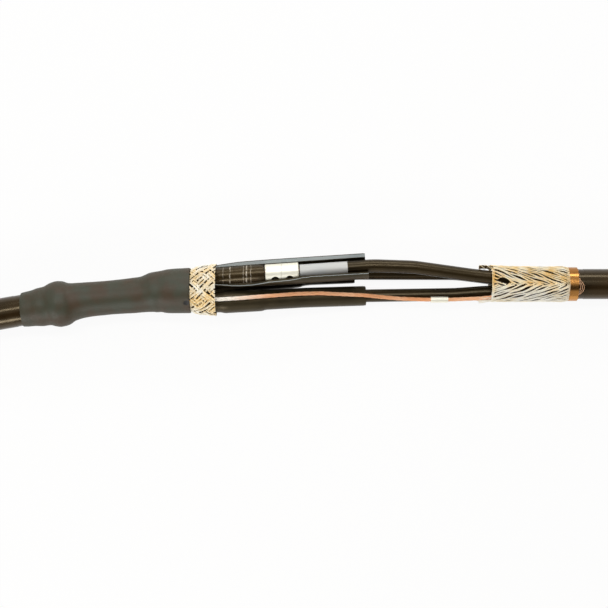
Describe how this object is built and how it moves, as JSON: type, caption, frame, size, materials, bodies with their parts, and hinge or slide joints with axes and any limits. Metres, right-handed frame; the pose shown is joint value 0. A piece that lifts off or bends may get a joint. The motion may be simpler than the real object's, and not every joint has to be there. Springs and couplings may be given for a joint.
{
  "type": "heat shrink cable joint",
  "caption": "Heat shrink straight joint of a three-core power cable, shown as a cutaway sample: jacket, braid, joint sleeves, connectors and springs between two cut cable ends.",
  "frame": {"origin": "on the ground under the middle of the joint's bounding box", "axes": "+X along the joint from its jacketed end to its bare end, +Y up in the picture, +Z up from the ground towards the camera"},
  "size_m": [1.2906, 0.1569, 0.1004],
  "materials": {
    "cable_sheath": "glossy extruded polyethylene",
    "cable_filler": "dull extruded filler",
    "screen_copper": "bare drawn copper wire",
    "conductor_copper": "compacted stranded copper",
    "core_insulation": "extruded cross-linked polyethylene, peeled",
    "core_screen": "extruded semi-conductive layer, smooth",
    "tinned_connector": "tin plated, satin",
    "bolt_metal": "machined, sheared head",
    "stress_tube": "heat shrunk, satin",
    "joint_sleeve": "heat shrunk elastomer, cut edge grey",
    "screen_mesh": "tinned copper wire braid",
    "spring_strip": "rolled strip, bright",
    "tinned_ferrule": "tin plated, crimped",
    "mastic": "soft sealing compound",
    "jacket_tube": "heat shrunk polyolefin, matte"
  },
  "bodies": {
    "root": {"left_sheath": "cable_sheath", "right_sheath": "cable_sheath", "left_filler": "cable_filler", "right_filler": "cable_filler", "left_screen_wires": "screen_copper", "right_screen_wires": "screen_copper", "core_1_left_conductor": "conductor_copper", "core_2_left_conductor": "conductor_copper", "core_3_left_conductor": "conductor_copper", "core_1_right_conductor": "conductor_copper", "core_2_right_conductor": "conductor_copper", "core_3_right_conductor": "conductor_copper", "core_1_left_insulation": "core_insulation", "core_2_left_insulation": "core_insulation", "core_3_left_insulation": "core_insulation", "core_1_right_insulation": "core_insulation", "core_2_right_insulation": "core_insulation", "core_3_right_insulation": "core_insulation", "core_1_left_screen": "core_screen", "core_2_left_screen": "core_screen", "core_3_left_screen": "core_screen", "core_1_right_screen": "core_screen", "core_2_right_screen": "core_screen", "core_3_right_screen": "core_screen", "connector_1": "tinned_connector", "connector_2": "tinned_connector", "connector_3": "tinned_connector", "shear_bolts_1": "bolt_metal", "shear_bolts_2": "bolt_metal", "shear_bolts_3": "bolt_metal", "stress_tube_1": "stress_tube", "stress_tube_2": "stress_tube", "stress_tube_3": "stress_tube", "joint_sleeve_1": "joint_sleeve", "joint_sleeve_2": "joint_sleeve", "joint_sleeve_3": "joint_sleeve", "left_mesh": "screen_mesh", "right_mesh": "screen_mesh", "left_roll_spring": "spring_strip", "right_roll_spring": "spring_strip", "left_earth_wire": "screen_copper", "right_earth_wire": "screen_copper", "crimp_ferrule": "tinned_ferrule", "sealing_mastic": "mastic", "outer_jacket": "jacket_tube"}
  },
  "joints": []
}
